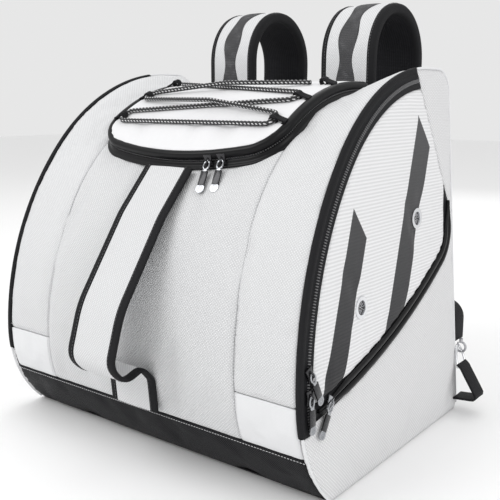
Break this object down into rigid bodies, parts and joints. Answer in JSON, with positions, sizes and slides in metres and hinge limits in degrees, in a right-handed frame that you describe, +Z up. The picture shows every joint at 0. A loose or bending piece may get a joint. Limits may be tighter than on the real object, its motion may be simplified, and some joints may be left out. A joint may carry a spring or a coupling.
{
  "type": "ski boot bag",
  "caption": "Upright ski boot backpack with a laced lid, zipped boot doors in both sides, front carry handle and padded shoulder straps",
  "frame": {"origin": "on the floor under the middle of the helmet compartment, midway between the sides", "axes": "X to the right seen from the front, Y towards the back panel and straps, Z up; the front carry handle faces -Y"},
  "size_m": [0.4836, 0.4486, 0.476],
  "materials": {
    "diamond_fabric": "matte",
    "twill_fabric": "matte",
    "side_fabric": "matte",
    "smooth_patch": "satin",
    "coated_black": "satin",
    "lid_fabric": "matte",
    "zip_tape": "matte",
    "divider_fabric": "matte",
    "strap_fabric": "matte",
    "handle_fabric": "matte",
    "webbing": "matte",
    "cord": "matte",
    "bright_metal": "polished",
    "dark_metal": "satin",
    "vent_black": "matte",
    "slider_metal": "satin",
    "pull_tab": "satin",
    "buckle_plastic": "satin"
  },
  "bodies": {
    "bag": {"base_panel": "coated_black", "base_band": "coated_black", "centre_panel": "diamond_fabric", "lower_patches": "smooth_patch", "rear_yoke": "diamond_fabric", "back_panel": "twill_fabric", "boot_dividers": "divider_fabric", "lid_zip_lower": "zip_tape", "carry_handle": "handle_fabric", "corner_tabs": "webbing", "front_strip_left": "twill_fabric", "front_strip_right": "twill_fabric", "side_panel_left": "side_fabric", "side_panel_right": "side_fabric", "arc_zip_frame_left": "zip_tape", "arc_zip_frame_right": "zip_tape", "diagonal_zip_frame_left": "zip_tape", "diagonal_zip_frame_right": "zip_tape"},
    "lid": {"lid_panel": "lid_fabric", "lid_zip_upper": "zip_tape", "lacing_loops": "webbing", "bungee_cord": "cord"},
    "boot_door_left": {"boot_door_left": "side_fabric", "door_zip_left": "zip_tape", "vent_eyelets_left": "bright_metal", "vent_discs_left": "vent_black"},
    "upper_slider_left": {"upper_slider_left": "slider_metal"},
    "upper_pull_left": {"upper_pull_left": "pull_tab"},
    "lower_slider_left": {"lower_slider_left": "slider_metal"},
    "lower_pull_left": {"lower_pull_left": "pull_tab"},
    "pocket_slider_left": {"pocket_slider_left": "slider_metal"},
    "pocket_pull_left": {"pocket_pull_left": "pull_tab"},
    "lid_slider_left": {"lid_slider_left": "slider_metal"},
    "lid_pull_left": {"lid_pull_left": "pull_tab"},
    "strap_left": {"shoulder_strap_left": "strap_fabric", "ladder_lock_left": "buckle_plastic", "adjusting_webbing_left": "webbing"},
    "snap_hook_left": {"snap_hook_left": "dark_metal"},
    "snap_gate_left": {"snap_gate_left": "dark_metal"},
    "d_ring_left": {"d_ring_left": "bright_metal"},
    "boot_door_right": {"boot_door_right": "side_fabric", "door_zip_right": "zip_tape", "vent_eyelets_right": "bright_metal", "vent_discs_right": "vent_black"},
    "upper_slider_right": {"upper_slider_right": "slider_metal"},
    "upper_pull_right": {"upper_pull_right": "pull_tab"},
    "lower_slider_right": {"lower_slider_right": "slider_metal"},
    "lower_pull_right": {"lower_pull_right": "pull_tab"},
    "pocket_slider_right": {"pocket_slider_right": "slider_metal"},
    "pocket_pull_right": {"pocket_pull_right": "pull_tab"},
    "lid_slider_right": {"lid_slider_right": "slider_metal"},
    "lid_pull_right": {"lid_pull_right": "pull_tab"},
    "strap_right": {"shoulder_strap_right": "strap_fabric", "ladder_lock_right": "buckle_plastic", "adjusting_webbing_right": "webbing"},
    "snap_hook_right": {"snap_hook_right": "dark_metal"},
    "snap_gate_right": {"snap_gate_right": "dark_metal"},
    "d_ring_right": {"d_ring_right": "bright_metal"},
    "sternum_socket": {"sternum_socket": "buckle_plastic"},
    "sternum_plug": {"sternum_plug": "buckle_plastic"}
  },
  "joints": [
    {"name": "lid_fold", "type": "hinge", "parent": "bag", "child": "lid", "pos_m": [0, 0.08358, 0.37615], "axis": [-1, 0, 0], "range_deg": [0, 90]},
    {"name": "door_fold_left", "type": "hinge", "parent": "bag", "child": "boot_door_left", "pos_m": [-0.19912, 0.137, 0.25768], "axis": [-0.0439, 0.4762, -0.8783], "range_deg": [0, 120]},
    {"name": "upper_slider_run_left", "type": "hinge", "parent": "boot_door_left", "child": "upper_slider_left", "pos_m": [-0.20691, 0.164, 0.10187], "axis": [-0.9988, 0, 0.0499], "range_deg": [0, 32]},
    {"name": "upper_pull_swing_left", "type": "hinge", "parent": "upper_slider_left", "child": "upper_pull_left", "pos_m": [-0.20935, -0.15248, 0.13306], "axis": [0.0203, 0.9135, 0.4062], "range_deg": [0, 120]},
    {"name": "lower_slider_run_left", "type": "hinge", "parent": "boot_door_left", "child": "lower_slider_left", "pos_m": [-0.20691, 0.164, 0.10187], "axis": [-0.9988, 0, 0.0499], "range_deg": [-3, 0]},
    {"name": "lower_pull_swing_left", "type": "hinge", "parent": "lower_slider_left", "child": "lower_pull_left", "pos_m": [-0.21038, -0.15382, 0.1126], "axis": [0, 1, 0], "range_deg": [0, 120]},
    {"name": "pocket_slider_run_left", "type": "hinge", "parent": "boot_door_left", "child": "pocket_slider_left", "pos_m": [-0.17329, -0.24395, 0.77411], "axis": [0.9988, 0, -0.0499], "range_deg": [0, 16]},
    {"name": "pocket_pull_swing_left", "type": "hinge", "parent": "pocket_slider_left", "child": "pocket_pull_left", "pos_m": [-0.21113, -0.122, 0.09752], "axis": [-0.0286, 0.8192, -0.5729], "range_deg": [0, 120]},
    {"name": "lid_slider_left_run", "type": "hinge", "parent": "lid", "child": "lid_slider_left", "pos_m": [0, 0.16852, 0.57869], "axis": [0, -0.7155, 0.6986], "range_deg": [-1.1, 0]},
    {"name": "lid_pull_left_swing", "type": "hinge", "parent": "lid_slider_left", "child": "lid_pull_left", "pos_m": [0.04846, -0.10112, 0.30492], "axis": [-0.9934, -0.1064, -0.0418], "range_deg": [0, 90]},
    {"name": "strap_left_fold", "type": "hinge", "parent": "bag", "child": "strap_left", "pos_m": [-0.085, 0.1, 0.3706], "axis": [-1, 0, 0], "range_deg": [-25, 0]},
    {"name": "snap_hook_swivel_left", "type": "hinge", "parent": "strap_left", "child": "snap_hook_left", "pos_m": [-0.211, 0.172, 0.074], "axis": [0, 0, -1], "continuous": true},
    {"name": "snap_gate_swing_left", "type": "hinge", "parent": "snap_hook_left", "child": "snap_gate_left", "pos_m": [-0.20756, 0.172, 0.07891], "axis": [0, 1, 0], "range_deg": [0, 28], "stiffness_Nm_per_rad": 0.004, "springref_deg": -11.46},
    {"name": "d_ring_swing_left", "type": "hinge", "parent": "bag", "child": "d_ring_left", "pos_m": [-0.218, 0.16, 0.056], "axis": [0, -1, 0], "range_deg": [-30, 60]},
    {"name": "door_fold_right", "type": "hinge", "parent": "bag", "child": "boot_door_right", "pos_m": [0.19912, 0.137, 0.25768], "axis": [-0.0439, -0.4762, 0.8783], "range_deg": [0, 120]},
    {"name": "upper_slider_run_right", "type": "hinge", "parent": "boot_door_right", "child": "upper_slider_right", "pos_m": [0.20691, 0.164, 0.10187], "axis": [-0.9988, 0, -0.0499], "range_deg": [0, 32]},
    {"name": "upper_pull_swing_right", "type": "hinge", "parent": "upper_slider_right", "child": "upper_pull_right", "pos_m": [0.20935, -0.15248, 0.13306], "axis": [0.0203, -0.9135, -0.4062], "range_deg": [0, 120]},
    {"name": "lower_slider_run_right", "type": "hinge", "parent": "boot_door_right", "child": "lower_slider_right", "pos_m": [0.20691, 0.164, 0.10187], "axis": [-0.9988, 0, -0.0499], "range_deg": [-3, 0]},
    {"name": "lower_pull_swing_right", "type": "hinge", "parent": "lower_slider_right", "child": "lower_pull_right", "pos_m": [0.21038, -0.15382, 0.1126], "axis": [0, -1, 0], "range_deg": [0, 120]},
    {"name": "pocket_slider_run_right", "type": "hinge", "parent": "boot_door_right", "child": "pocket_slider_right", "pos_m": [0.17329, -0.24395, 0.77411], "axis": [0.9988, 0, 0.0499], "range_deg": [0, 16]},
    {"name": "pocket_pull_swing_right", "type": "hinge", "parent": "pocket_slider_right", "child": "pocket_pull_right", "pos_m": [0.21113, -0.122, 0.09752], "axis": [-0.0286, -0.8192, 0.5729], "range_deg": [0, 120]},
    {"name": "lid_slider_right_run", "type": "hinge", "parent": "lid", "child": "lid_slider_right", "pos_m": [0, 0.16852, 0.57869], "axis": [0, -0.7155, 0.6986], "range_deg": [0, 2.4]},
    {"name": "lid_pull_right_swing", "type": "hinge", "parent": "lid_slider_right", "child": "lid_pull_right", "pos_m": [0.06461, -0.09945, 0.30661], "axis": [-0.9883, -0.1418, -0.0558], "range_deg": [0, 90]},
    {"name": "strap_right_fold", "type": "hinge", "parent": "bag", "child": "strap_right", "pos_m": [0.085, 0.1, 0.3706], "axis": [-1, 0, 0], "range_deg": [-25, 0]},
    {"name": "snap_hook_swivel_right", "type": "hinge", "parent": "strap_right", "child": "snap_hook_right", "pos_m": [0.211, 0.172, 0.074], "axis": [0, 0, 1], "continuous": true},
    {"name": "snap_gate_swing_right", "type": "hinge", "parent": "snap_hook_right", "child": "snap_gate_right", "pos_m": [0.20756, 0.172, 0.07891], "axis": [0, -1, 0], "range_deg": [0, 28], "stiffness_Nm_per_rad": 0.004, "springref_deg": -11.46},
    {"name": "d_ring_swing_right", "type": "hinge", "parent": "bag", "child": "d_ring_right", "pos_m": [0.218, 0.16, 0.056], "axis": [0, 1, 0], "range_deg": [-30, 60]},
    {"name": "sternum_socket_slide", "type": "slide", "parent": "strap_left", "child": "sternum_socket", "axis": [0, 0.2191, 0.9757], "range_m": [-0.05, 0]},
    {"name": "sternum_plug_slide", "type": "slide", "parent": "strap_right", "child": "sternum_plug", "axis": [0, 0.2191, 0.9757], "range_m": [-0.06, 0.03]}
  ]
}
